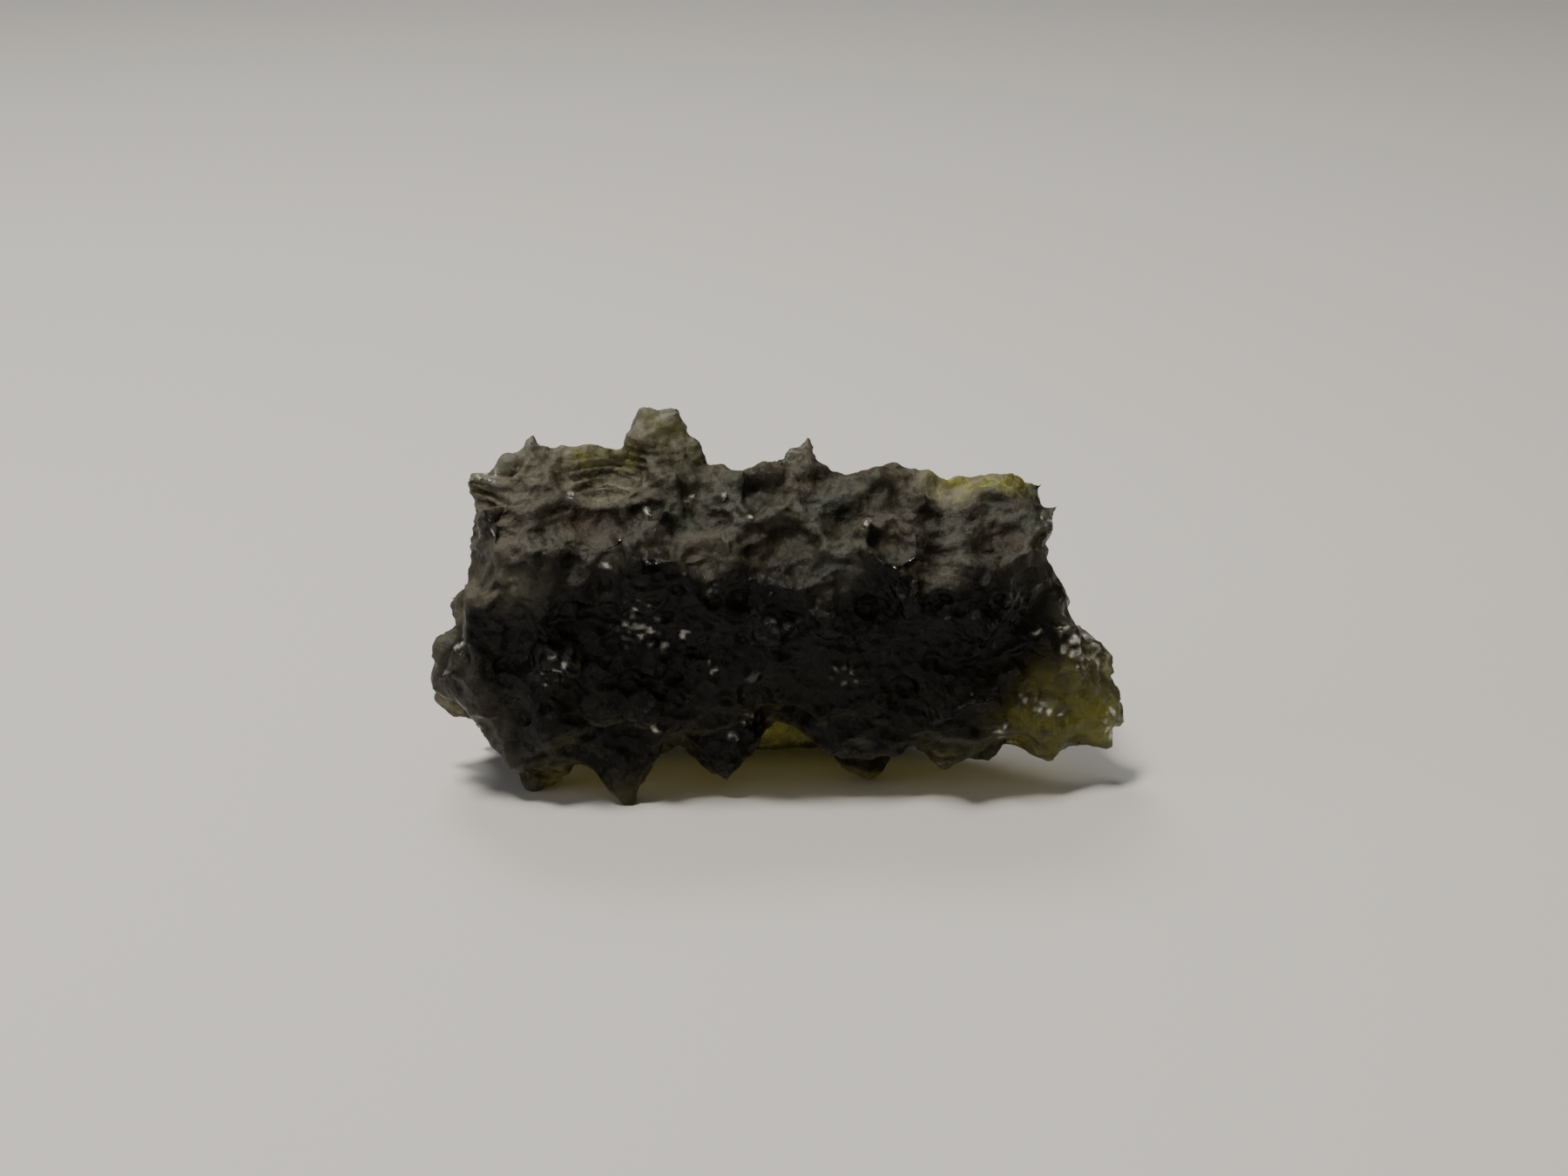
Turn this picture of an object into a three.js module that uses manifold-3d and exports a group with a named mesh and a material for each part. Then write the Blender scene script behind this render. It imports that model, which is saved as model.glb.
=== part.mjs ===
// Moldavite: a lump of natural green glass that the ground has etched all over.
// Scallops bite into a rough block, thin crests stand between them, and horns
// rise where crests meet. One solid, lying on five worn crest tips.
//
// Millimetres. The origin is under the middle of the stone, on the surface it
// lies on. +X runs along the stone to its thin broken tip, +Y to its back, +Z up.

import * as THREE from "three";
import { ConvexHull } from "three/addons/math/ConvexHull.js";
import { mergeVertices } from "three/addons/utils/BufferGeometryUtils.js";
import Module from "manifold-3d";

// ---- Driving dimensions ----

// The spine is a line inside the stone that the surface is measured out from.
const SPINE_HALF = 8.5;
const SPINE_HEIGHT = 7.4;
const SPINE_BACK = 0.9; // the spine lies behind the origin, as the back is the thicker side
const GIRTH_RADIUS = 6.5; // mean distance from the spine to the surface
const EDGE_SHARPNESS = 12; // how tightly the block's faces meet

const SCALLOP_COUNT = 152;
const SMALLEST_SCALLOP = 0.8; // radius of the scallops that aren't listed
const LARGEST_SCALLOP = 1.9;
const WIDE_SCALLOP = 1.55; // a scallop with a larger radius has one more ring
const DEPTH_SHARE = [0.3, 0.6]; // depth of a scallop as a share of its radius
const WALL_RINGS = [0.32, 0.68]; // shares of the way from crest to scallop centre
const WIDE_RINGS = [0.25, 0.5, 0.75];
const WALL_CURVE = 1.9; // how fast a wall falls away from its crest
const DEEP_SIDE = 0.27; // how far up its slope a scallop is deepest, as a share of its radius
const ROUNDING = 0.8; // how far the innermost ring forgets the shape of the rim
const WALL_ROUGHNESS = 0.05;

// Heights are over the block's face.
const PEAK_LOWEST = -0.6; // an unlisted meeting of three crests
const PEAK_HIGHEST = 1.05;
const CREST_LOW = [-0.9, 0.25]; // the low middle of a crest
const CREST_FALL = 1.7; // how fast a crest falls away from its ends
const CREST_SWAY = 0.14; // how far a crest bends towards one of its scallops
const LONG_CREST = 2.2; // a crest longer than this has three steps, not two
const RIDGE_DIP = 0.12; // how far a listed ridge sinks between its tips
const EVENING_ROUNDS = 2; // how often free peaks even out between their neighbours
const EVENING_SHARE = 0.4;
const SEED = 278;

// Faces of the rough block: outward normal, then distance from the spine's middle.
const BLOCK_FACES = [
  [[0.06, -0.47, 0.88], 5.9], // upper front, a slope that faces the light
  [[0.06, 0.5, 0.87], 6.05], // upper back
  [[0, 0.85, 0.53], 5.55], // back bevel
  [[0, 0.97, -0.24], 4.65], // back
  [[0, -0.99, -0.15], 4.8], // lower front, undercut
  [[0.05, 0, -1], 6.25], // underside
  [[-1, 0, 0.12], 13.1], // left end
  [[-0.72, -0.3, -0.62], 13.0], // left end, cut away below
  [[-0.78, -0.6, -0.2], 12.85], // left front corner
  [[-0.7, 0.7, 0], 11.65], // left back corner
  [[0.93, 0, 0.36], 12.2], // right end
  [[0.8, 0, -0.6], 15.1], // right end, under the tip
  [[0.36, -0.93, 0], 7.45], // front of the thin tip
  [[0.45, 0.8, -0.4], 7.7], // back of the thin tip, undercut
];
// Broad swellings (and hollows, where the height is negative) of the block:
// centre, radius, height.
const SWELLINGS = [
  [[-13.8, -1, 5.4], 2.6, 1.3],
  [[12.4, -1.5, 9.0], 2.0, -1.7],
  [[0.1, -3.4, 1.6], 2.0, -1.5],
  [[0.3, 0.8, 0.9], 2.4, -1.6],
  [[-4.0, -2.8, 0.9], 1.3, -0.9],
];

// Scallops of the front, in rows from the top edge to the underside: [x, angle
// round the spine in degrees, radius]. Angle 0 points to the back and 90 up.
const FRONT_SCALLOPS = [
  [-11.9, 103, 1.9], [-8.85, 77, 1.3], [-7.05, 95, 1.8], [-3.8, 89, 1.3], [-1.1, 91, 1.2],
  [0.5, 93, 0.8], [3.15, 95, 1.3], [5.4, 94, 0.9], [7.7, 102, 1.6], [10.4, 118, 1.2],
  [-9.4, 111, 1.1], [-7.4, 121, 1.6], [-5.4, 110, 1.2], [-3.6, 108, 1.1], [-2.1, 107, 0.8],
  [-0.4, 109, 1.1], [1.65, 108, 1.2], [4.1, 111, 1.2], [5.6, 116, 0.9], [-12.4, 140, 1.6],
  [-10.4, 129, 1.2], [-10.9, 151, 1.3], [-8.5, 141, 0.9], [-6.8, 143, 1.3], [-5.6, 131, 1.2],
  [-2.6, 123, 1.5], [-2.9, 140, 1.3], [0.5, 134, 2], [2.6, 125, 1.2], [4.7, 129, 1.3],
  [6.9, 132, 1.4], [8.4, 126, 1.1], [9.7, 141, 1.3], [11.6, 143, 1.2], [-4.3, 154, 1.4],
  [-2.2, 160, 1.1], [0.35, 158, 1.3], [4, 158, 1.8], [5.9, 149, 1.1], [7.6, 149, 1.2],
  [9.2, 161, 1.3], [-11.2, 180, 2], [-13.2, 184, 1.1], [-14.2, 209, 1.2], [-12.9, 219, 1.2],
  [-13.4, 160, 1.1], [-8.4, 173, 1.3], [-5.6, 175, 2.1], [-2.1, 185, 1.6], [1.6, 178, 2],
  [6.7, 173, 1.9], [10.6, 179, 1.5], [-7.5, 193, 0.8], [-4, 195, 0.9], [0, 196, 0.8],
  [4.2, 191, 1.2], [6.9, 192, 0.8], [-9.1, 206, 1.6], [-11.4, 221, 1.5], [-6.2, 209, 1.4],
  [-3.7, 211, 1.3], [-1.1, 214, 1.5], [1.9, 207, 1.3], [5.2, 212, 1.8], [8.4, 201, 1.6],
  [11.6, 208, 1.9], [13.6, 189, 1.1], [14, 218, 1.2], [-8.6, 236, 1.7], [-6.4, 224, 1],
  [-4.2, 243, 1.6], [0.1, 232, 2], [2.7, 222, 0.9], [3.4, 243, 1], [6.1, 232, 1.4],
  [8.1, 221, 1.1], [9.2, 238, 1.4], [12.3, 239, 1.3],
];

// Ridges: lines of crest tips that stay joined at full height. A line of one tip
// is a lone horn. A tip under the floor is worn flat at floor level.
const WORN = -0.5;
const RIDGES = [
  [[-13.4, 0.6, 13.6], [-12.0, 1.6, 14.3]],
  [[-10.3, -1.0, 13.5], [-10.5, 1.5, 15.2], [-8.7, 2.2, 14.4]],
  [[-5.95, 2, 16.3], [-4.15, 2, 16.4], [-3.3, 1.9, 14.7]],
  [[-2.4, 2.1, 13.8]],
  [[0.0, 2.0, 14.2], [1.25, 1.8, 15.0]],
  [[4.6, 1.5, 14.0], [5.75, 1.6, 13.9]],
  [[7.4, 2.2, 13.2]],
  [[9.3, 2.4, 13.3], [10.6, 2.4, 13.3]],
  [[12.3, 0.7, 12.4]],
  [[12.0, -1.5, 9.6]],
  [[13.0, -1, 7.4], [14.6, -0.5, 5.7], [15.1, 0, 2.7], [14.8, 0, 1.2]],
  [[-13.4, -0.5, 10.0], [-13.9, -0.8, 8.2]],
  [[-15.1, -1.0, 6.0], [-14.8, -1.5, 4.6]],
  [[-12.6, -2, 2.8]],
  [[-10.5, -1.8, WORN]],
  [[-6.2, -3.4, WORN]],
  [[-2.1, -2.8, 0.7]],
  [[4.2, -0.7, WORN]],
  [[7.2, -1.6, 0.9]],
  [[9.2, -1.6, 1.3]],
  [[12, -1, 1.0]],
  [[-5.2, 3.9, WORN]],
  [[3.6, 4.2, WORN]],
];

// ---- Small tools ----

// A seeded source of numbers, so that the stone is always the same.
let randomState = SEED;
function between(low, high) {
  randomState = (randomState * 1664525 + 1013904223) % 4294967296;
  return low + ((high - low) * randomState) / 4294967296;
}

// ---- The unit ball and the block ----

// The scallops are laid out on a unit ball. Station (mm along the spine) and tilt
// (lean towards an end, past the spine's own end) are Mercator coordinates there,
// so that a round scallop on the ball is round on the long stone too.
function ballPoint(station, tilt, angle) {
  const mercator = station / GIRTH_RADIUS + Math.asinh(Math.tan(tilt));
  const ring = 1 / Math.cosh(mercator);
  return new THREE.Vector3(Math.tanh(mercator), ring * Math.cos(angle), ring * Math.sin(angle));
}

// The ball point that faces a place [x, y, z] of the stone.
function ballPointFacing(x, y, z) {
  const station = THREE.MathUtils.clamp(x, -SPINE_HALF, SPINE_HALF);
  const out = Math.hypot(y - SPINE_BACK, z - SPINE_HEIGHT);
  return ballPoint(station, Math.atan2(x - station, out), Math.atan2(z - SPINE_HEIGHT, y - SPINE_BACK));
}

// The ray from the spine that belongs to a point of the ball.
function rayOf(point) {
  const mercator = Math.atanh(THREE.MathUtils.clamp(point.x, -0.999999, 0.999999));
  const station = THREE.MathUtils.clamp(mercator * GIRTH_RADIUS, -SPINE_HALF, SPINE_HALF);
  const tilt = Math.atan(Math.sinh(mercator - station / GIRTH_RADIUS));
  const angle = Math.atan2(point.z, point.y);
  return new THREE.Ray(
    new THREE.Vector3(station, SPINE_BACK, SPINE_HEIGHT),
    new THREE.Vector3(Math.sin(tilt), Math.cos(tilt) * Math.cos(angle), Math.cos(tilt) * Math.sin(angle)),
  );
}

// How long a millimetre of the stone's surface is on the ball, near a point of it.
function ballUnitsPerMm(point) {
  const direction = rayOf(point).direction;
  const ring = Math.hypot(point.y, point.z);
  return ring / (GIRTH_RADIUS * Math.hypot(direction.y, direction.z));
}

const spineMiddle = new THREE.Vector3(0, SPINE_BACK, SPINE_HEIGHT);
const faces = BLOCK_FACES.map(([normal, distance]) => {
  const direction = new THREE.Vector3(...normal).normalize();
  return new THREE.Plane(direction, -distance - direction.dot(spineMiddle));
});

// The block's surface along a ray: its faces' distances, blended where they meet,
// and its swellings.
function blockDistance(ray) {
  let sum = 0;
  for (const face of faces) {
    const nearness = face.normal.dot(ray.direction) / -face.distanceToPoint(ray.origin);
    if (nearness > 0) sum += nearness ** EDGE_SHARPNESS;
  }
  const distance = sum ** (-1 / EDGE_SHARPNESS);
  const place = ray.at(distance, new THREE.Vector3());
  return SWELLINGS.reduce((total, [centre, radius, height]) => {
    const reach = place.distanceTo(new THREE.Vector3(...centre)) / radius;
    return total + height * Math.exp(-(reach ** 2));
  }, distance);
}

function surfacePoint(point, height = 0) {
  const ray = rayOf(point);
  return ray.at(blockDistance(ray) + height, new THREE.Vector3());
}

// ---- Where the scallops lie ----

function scallopAt(x, angle, radius) {
  const station = THREE.MathUtils.clamp(x, -SPINE_HALF, SPINE_HALF);
  const point = ballPoint(station, Math.asin((x - station) / GIRTH_RADIUS), angle);
  return { point, radius, place: surfacePoint(point) };
}

const scallops = FRONT_SCALLOPS.map(([x, degrees, radius]) => {
  return scallopAt(x, THREE.MathUtils.degToRad(degrees), radius);
});

// The rest of the stone: each new scallop is the candidate with the most room.
const CANDIDATES = 80;
while (scallops.length < SCALLOP_COUNT) {
  const radius = between(SMALLEST_SCALLOP, LARGEST_SCALLOP);
  let best = null;
  for (let i = 0; i < CANDIDATES; i++) {
    const x = between(-0.99, 0.99) * (SPINE_HALF + GIRTH_RADIUS);
    const candidate = scallopAt(x, between(0, 2 * Math.PI), radius);
    const gaps = scallops.map((s) => s.place.distanceTo(candidate.place) - s.radius);
    candidate.room = Math.min(...gaps);
    if (!best || candidate.room > best.room) best = candidate;
  }
  scallops.push(best);
}

// ---- Peaks, where three scallops meet ----

// The hull of the scaled ball points has one triangle for each three neighbouring
// scallops, and its normal points at their meeting. A larger scallop reaches
// further from its centre.
const scaled = scallops.map((s) => {
  const reach = s.radius * ballUnitsPerMm(s.point);
  return s.point.clone().multiplyScalar(Math.exp(reach ** 2 / 2));
});
const hull = new ConvexHull().setFromPoints(scaled);
const peaks = hull.faces.map((face) => {
  const corners = [face.edge.prev, face.edge, face.edge.next].map((e) => scaled.indexOf(e.head().point));
  const centre = corners.reduce((sum, c) => sum.add(scallops[c].point), new THREE.Vector3()).normalize();
  return {
    scallops: corners,
    point: centre.lerp(face.normal, 0.6).normalize(),
    height: PEAK_LOWEST + (PEAK_HIGHEST - PEAK_LOWEST) * between(0, 1) ** 2,
    ridge: null,
  };
});

// "a,b": the peak whose scallops run a, b, ... round it.
const peakOfEdge = new Map();
peaks.forEach((peak) => {
  peak.scallops.forEach((a, k) => peakOfEdge.set(a + "," + peak.scallops[(k + 1) % 3], peak));
});
function neighboursOf(peak) {
  return peak.scallops.map((a, k) => peakOfEdge.get(peak.scallops[(k + 1) % 3] + "," + a));
}

// A ridge takes over the nearest run of free peaks that follow each other.
for (const ridge of RIDGES) {
  const places = ridge.map((tip) => new THREE.Vector3(...tip));
  let runs = [{ peaks: [], gap: 0 }];
  for (const place of places) {
    runs = runs.flatMap((run) => {
      const next = run.peaks.length ? neighboursOf(run.peaks.at(-1)) : peaks;
      const free = next.filter((p) => !p.ridge && !run.peaks.includes(p));
      return free.map((p) => ({
        peaks: [...run.peaks, p],
        gap: run.gap + surfacePoint(p.point).distanceTo(place),
      }));
    });
  }
  const nearest = runs.reduce((best, run) => (run.gap < best.gap ? run : best));
  nearest.peaks.forEach((peak, i) => {
    peak.ridge = ridge;
    peak.point = ballPointFacing(...ridge[i]);
    const ray = rayOf(peak.point);
    peak.height = places[i].distanceTo(ray.origin) - blockDistance(ray);
  });
}

// The free peaks even out between their neighbours.
for (let round = 0; round < EVENING_ROUNDS; round++) {
  const evened = peaks.map((peak) => {
    if (peak.ridge) return peak.point;
    const mean = neighboursOf(peak).reduce((sum, n) => sum.add(n.point), new THREE.Vector3());
    return peak.point.clone().lerp(mean.normalize(), EVENING_SHARE).normalize();
  });
  peaks.forEach((peak, i) => {
    peak.point = evened[i];
  });
}

// ---- Crests, between two scallops ----

const vertices = [];
const addVertex = (point, height) => vertices.push(surfacePoint(point, height)) - 1;
for (const peak of peaks) peak.vertex = addVertex(peak.point, peak.height);

// The steps of a crest between two peaks, from one end to the other.
const crests = new Map();
function crest(from, to, left, right) {
  const key = Math.min(left, right) + "," + Math.max(left, right);
  if (crests.has(key)) return [...crests.get(key)].reverse();
  const length = surfacePoint(from.point).distanceTo(surfacePoint(to.point));
  const steps = length > LONG_CREST ? 3 : 2;
  const joined = from.ridge && from.ridge === to.ridge;
  const low = joined ? Math.min(from.height, to.height) - RIDGE_DIP : between(...CREST_LOW);
  const made = [];
  for (let i = 1; i < steps; i++) {
    const t = i / steps;
    const fromEnd = (from.height - low) * (1 - t) ** CREST_FALL;
    const toEnd = (to.height - low) * t ** CREST_FALL;
    const height = low + (joined ? 0 : fromEnd + toEnd);
    const towards = scallops[between(0, 1) < 0.5 ? left : right].point;
    const point = from.point.clone().lerp(to.point, t).lerp(towards, between(0, CREST_SWAY));
    point.normalize();
    made.push({ point, height, vertex: addVertex(point, height) });
  }
  crests.set(key, made);
  return made;
}

// ---- Scallops: rings from the rim down to the floor ----

const triangles = [];

// A band of triangles between a ring and the ring inside it, which may have fewer
// vertices.
function stitch(outer, inner) {
  const near = (i) => Math.round((i * inner.length) / outer.length) % inner.length;
  outer.forEach((v, i) => {
    const next = outer[(i + 1) % outer.length];
    const [a, b] = [near(i), near(i + 1)];
    triangles.push(v, next, inner[a]);
    if (a !== b) triangles.push(next, inner[b], inner[a]);
  });
}

scallops.forEach((scallop, a) => {
  const first = peaks.find((p) => p.scallops.includes(a));
  if (!first) return; // swallowed by larger neighbours
  const rim = [];
  let peak = first;
  do {
    const k = peak.scallops.indexOf(a);
    const neighbour = peak.scallops[(k + 2) % 3];
    const next = peakOfEdge.get(a + "," + neighbour);
    rim.push(peak, ...crest(peak, next, a, neighbour));
    peak = next;
  } while (peak !== first);

  const middle = rim.reduce((sum, r) => sum.add(r.point), new THREE.Vector3()).normalize();
  const uphill = new THREE.Vector3(0, 0, 1).addScaledVector(middle, -middle.z);
  middle.addScaledVector(uphill, DEEP_SIDE * scallop.radius * ballUnitsPerMm(middle)).normalize();
  const meanReach = rim.reduce((sum, r) => sum + r.point.distanceTo(middle), 0) / rim.length;
  const floor = -scallop.radius * between(...DEPTH_SHARE);
  let outer = rim.map((r) => r.vertex);
  const shares = scallop.radius > WIDE_SCALLOP ? WIDE_RINGS : WALL_RINGS;
  for (const share of shares) {
    const kept = share === shares.at(-1) ? rim.filter((_, i) => i % 2 === 0) : rim;
    const inner = kept.map((r) => {
      // Rings grow rounder towards the middle.
      const out = r.point.clone().sub(middle);
      const roundness = ROUNDING * share;
      const reach = THREE.MathUtils.lerp(out.length(), meanReach, roundness) * (1 - share);
      const point = out.setLength(reach).add(middle).normalize();
      const height = floor + (r.height - floor) * (1 - share) ** WALL_CURVE;
      return addVertex(point, height + between(-WALL_ROUGHNESS, WALL_ROUGHNESS));
    });
    stitch(outer, inner);
    outer = inner;
  }
  stitch(outer, [addVertex(middle, floor)]);
});

// ---- The solid ----

const wasm = await Module();
wasm.setup();

function toSolid(geometry) {
  const bare = geometry.clone();
  bare.deleteAttribute("normal");
  bare.deleteAttribute("uv");
  const merged = mergeVertices(bare, 1e-4);
  return new wasm.Manifold(
    new wasm.Mesh({
      numProp: 3,
      vertProperties: merged.attributes.position.array,
      triVerts: new Uint32Array(merged.index.array),
    }),
  );
}

function toGeometry(solid) {
  const mesh = solid.getMesh();
  const geometry = new THREE.BufferGeometry();
  geometry.setAttribute("position", new THREE.BufferAttribute(mesh.vertProperties, 3));
  geometry.setIndex(new THREE.BufferAttribute(mesh.triVerts, 1));
  return geometry;
}

const etched = new THREE.BufferGeometry().setFromPoints(vertices);
etched.setIndex(triangles);

// The tips that the stone lies on are worn flat at floor level.
const FLOOR_BLOCK = [60, 40, 10];
const floorBlock = new THREE.BoxGeometry(...FLOOR_BLOCK).translate(0, 0, -FLOOR_BLOCK[2] / 2);
const stone = toGeometry(toSolid(etched).subtract(toSolid(floorBlock)));

// The origin goes under the middle of the stone's own box.
stone.computeBoundingBox();
const middle = stone.boundingBox.getCenter(new THREE.Vector3());
stone.translate(-middle.x, -middle.y, 0);
stone.computeVertexNormals();

const glass = new THREE.MeshStandardMaterial({ color: 0x2c2d1a, roughness: 0.45, metalness: 0 });
const moldavite = new THREE.Mesh(stone, glass);
moldavite.name = "moldavite";

const group = new THREE.Group();
group.add(moldavite);

export default group;
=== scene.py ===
"""A moldavite, lying on a plain pale floor under soft studio light.

The frame's one solid gives the stone its block, its horns and crests, its lower edge
and its large scallops. This script gives it a skin. A copy of the solid, with some
blunt lumps added, is remade in fine even faces, and dishes, ragged scallops of three
sizes, the ledges of the flow layers, small chips and grain are worked into it. Then
it is coated: a dull grey-brown bloom on the upper side and pale places, both partly
painted light; olive places; layered bowls with painted shade along their ledges;
painted glints on the chips; and clear rims. The glass under the coat is near black
where it is thick and olive where it is thin.
"""

import math

import bpy
import numpy as np
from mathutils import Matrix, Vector, noise
from mathutils.bvhtree import BVHTree


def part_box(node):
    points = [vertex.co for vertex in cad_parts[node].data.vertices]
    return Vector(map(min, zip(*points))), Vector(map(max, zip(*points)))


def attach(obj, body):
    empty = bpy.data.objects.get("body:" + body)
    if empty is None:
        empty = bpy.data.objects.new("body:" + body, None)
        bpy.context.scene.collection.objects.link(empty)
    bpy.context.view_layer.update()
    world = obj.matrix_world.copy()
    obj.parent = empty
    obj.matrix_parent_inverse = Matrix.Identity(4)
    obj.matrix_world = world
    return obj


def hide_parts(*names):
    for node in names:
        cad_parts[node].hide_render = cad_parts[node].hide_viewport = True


MM = 0.001

# ---- Camera ----

LENS_MM = 64.0
SENSOR_MM = 36.0
CAMERA_ELEVATION = math.radians(20.0)
CAMERA_DISTANCE = 120.0 * MM
CAMERA_AIM = Vector((0.34, 0.0, 8.5)) * MM
NEAREST_SEEN = 1 * MM
FARTHEST_SEEN = 20.0  # metres

# Marks on the front are placed by x and by height up a plane that leans back 20 degrees.
# These point up along that plane and straight out of it.
UP_FRONT = Vector((0.0, 0.342, 0.940))
OUT_OF_FRONT = np.array((0.0, -0.940, 0.342))

# ---- Skin of the stone, in millimetres ----

SKIN_VOXEL = 0.115
SKIN_TRIANGLES = 194000
CORNERS_JOINED = 0.001  # corners this close become one
FACET_ROUNDS = 2  # smoothing that takes the facets out of the scallop walls
FACET_SMOOTHING = 0.5  # how far each of those rounds goes
BROAD_ROUNDS = 60  # smoothing that leaves the block without its horns
HORN_SHIFTS = (0.45, 1.1)  # what that smoothing moves this far is horn, and loses the relief
HORN_RELIEF = 0.1  # the share of the relief that a horn keeps
HORN_ROUNDS = 10  # smoothing that blunts the horns
HORN_BLUNTING = 0.8  # how far each of those rounds goes
UPPER_SIDE = (7.0, 2.0)  # the height that the upper side starts at, and the height it takes

# Blunt lumps that are added to the solid: centre, radii. Most thicken horns that the
# fine skin would thin, on the skyline, on the left end and under the belly. The widest,
# low in the arch, is form that the solid does not have, and reaches down to the floor.
LUMPS = [
    ((-5.25, 1.9, 14.9), (0.85, 0.8, 1.45)),
    ((-4.35, 1.9, 14.9), (0.85, 0.8, 1.45)),
    ((-3.9, 1.8, 13.6), (1.2, 0.8, 1.4)),
    ((-7.7, 1.8, 13.45), (2.3, 0.5, 1.0)),
    ((-12.4, 1.4, 12.9), (1.1, 0.6, 0.75)),
    ((-10.4, 1.8, 14.2), (0.6, 0.55, 1.0)),
    ((0.9, 1.9, 13.6), (1.0, 0.6, 0.9)),
    ((1.4, 1.9, 14.2), (0.35, 0.35, 0.75)),
    ((4.9, 1.8, 13.1), (0.9, 0.7, 0.8)),
    ((9.9, 1.5, 12.9), (1.0, 0.6, 0.75)),
    ((-4.8, 1.9, 15.3), (0.6, 0.6, 0.95)),
    ((-5.55, 1.9, 15.25), (0.9, 0.7, 1.0)),
    ((0.3, 2.6, 1.0), (3.2, 0.7, 1.6)),
    ((3.8, -1.2, 1.4), (1.3, 0.9, 1.3)),
    ((-13.9, -1.5, 5.5), (1.05, 0.9, 1.4)),
]
LUMP_SEGMENTS = 24
LUMP_RINGS = 12

CALM = 0.55  # how far the solid's own scallops are planed down before these are cut
# Dishes in the upper front: x, height up the front, half width, half height, depth.
DISHES = [
    (-11.9, 11.4, 1.8, 1.8, 0.75),
    (-7.2, 12.9, 2.4, 1.7, 0.85),
    (-7.7, 10.8, 2.5, 1.3, 0.55),
    (-2.9, 11.2, 1.7, 1.2, 0.40),
    (0.6, 9.3, 1.6, 1.4, 0.20),
    (-1.2, 12.3, 1.1, 0.8, 0.35),
    (1.8, 12.3, 1.1, 0.8, 0.35),
    (2.3, 10.9, 1.0, 0.8, 0.22),
    (4.7, 11.8, 1.4, 0.8, 0.40),
    (4.1, 9.4, 1.3, 1.0, 0.10),
    (7.4, 12.1, 1.2, 0.9, 0.45),
    (7.3, 10.8, 1.3, 0.7, 0.35),
    (9.3, 10.1, 1.3, 0.9, 0.40),
    (6.2, 9.2, 1.3, 0.9, 0.25),
    (-12.4, 8.6, 1.2, 1.1, 0.35),
    (-4.9, 9.0, 1.6, 1.2, 0.30),
    (-11.8, 13.3, 1.1, 0.8, 0.90),
    (-8.4, 9.0, 0.5, 0.4, 0.40),
    (-5.4, 11.4, 0.8, 0.45, 0.45),
]
LIP = 0.15  # how much of its depth a dish's lower lip stands out
LIP_REACH = 1.05  # where that lip is highest, as a share of the way from middle to rim
LIP_WIDTH = 0.15
DISH_FACING = 3.0  # how soon the dishes fade where the skin turns away from the front

# Small scallops within the large ones: size, depth, how ragged the rims are, and the
# share of the depth that is left low down.
SCALLOP_SEED = 5  # the same scallops come out every time
SCALLOPS = [
    (2.7, 0.36, 0.40, 1.0),
    (1.3, 0.30, 0.35, 0.45),
    (0.65, 0.12, 0.30, 0.8),
]
RAGGED_FINENESS = 1.3  # how much finer the rims' raggedness is than the scallops
# Each is steep where it cuts into the slope above and opens gently downhill, so
# that together they overlap like roof tiles.
UPHILL = Vector((0.0, 0.45, 0.9)).normalized()
STEEP = 2.3
GENTLE = 0.6
LOW_LEAN = 0.25  # how one-sided they are low down, against 1 on the upper side
RIM = 0.42  # where a scallop runs out, as a share of its size squared
SWELL = 0.2  # makes up for what the scallops take off
CARVED_SHARE = 0.25  # how much of a thin place may be carved away
BOWL_CALM = 0.6  # how much shallower the scallops are in the layered bowls
PROUD_EDGES = (0.10, 0.10)  # what stands out this far is rounded off, and fully this much farther out
PROUD_ROUNDS = 6
PROUD_BLUNTING = 0.8

GRAIN = (0.30, 0.03)  # grain size, depth
GRAIN_DETAIL = 2

LAYER_NORMAL = Vector((-0.05, 0.25, 0.97)).normalized()  # across the layers that the glass flowed in
LEDGE_SPACING = 0.40
LEDGE_HEIGHT = 0.15
LEDGE_TREAD = 0.8  # the share of each ledge that is tread, and the rest is its step
LAYER_WAVE = 0.8  # how far the layers wander

OPEN_THICKNESS = 20.0  # what counts as the thickness where no far wall lies behind the skin
UNDER_SKIN = 0.05  # thickness is measured from this far in

# Painted glints, on small chips of fresh glass: x, height up the front, radius, and
# how much of it is painted.
PAINTED_GLINT_SPOTS = [
    (-5.8, 6.4, 1.1, 0.65), (-4.9, 5.6, 0.5, 0.7), (-3.9, 6.1, 0.35, 0.9), (-9.0, 4.7, 0.7, 0.65),
    (-9.8, 4.1, 0.45, 0.7), (-6.1, 2.6, 0.30, 0.9), (-5.1, 2.0, 0.28, 0.9), (-1.2, 2.4, 0.4, 0.7),
    (-1.8, 1.6, 0.35, 0.9), (2.9, 4.5, 0.7, 0.6), (7.1, 6.8, 0.32, 1.0), (11.2, 6.1, 0.32, 1.0),
    (10.7, 3.2, 0.55, 1.3), (11.5, 2.8, 0.45, 1.3), (13.2, 5.6, 1.3, 1.2), (13.8, 4.8, 0.5, 1.1),
    (14.3, 2.6, 0.6, 1.0), (14.5, 1.7, 0.5, 1.1), (12.5, 2.2, 0.6, 0.75), (9.6, 1.9, 0.5, 0.7),
    (-8.7, 11.8, 0.32, 1.5), (-5.4, 11.2, 0.25, 1.2), (-3.6, 11.7, 0.25, 1.2), (-2.2, 11.9, 0.25, 1.2),
    (-1.1, 11.0, 0.25, 1.2), (3.8, 10.7, 0.25, 1.2), (-7.0, 8.9, 0.25, 1.2), (-2.6, 7.8, 0.4, 0.8),
    (-0.3, 6.6, 0.3, 0.8), (-2.7, 4.6, 0.35, 0.8), (11.6, 10.6, 0.6, 1.0), (-13.4, 5.4, 0.4, 0.6),
    (-12.4, 12.8, 0.7, 1.0), (12.3, 6.2, 0.5, 1.1),
]
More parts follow.
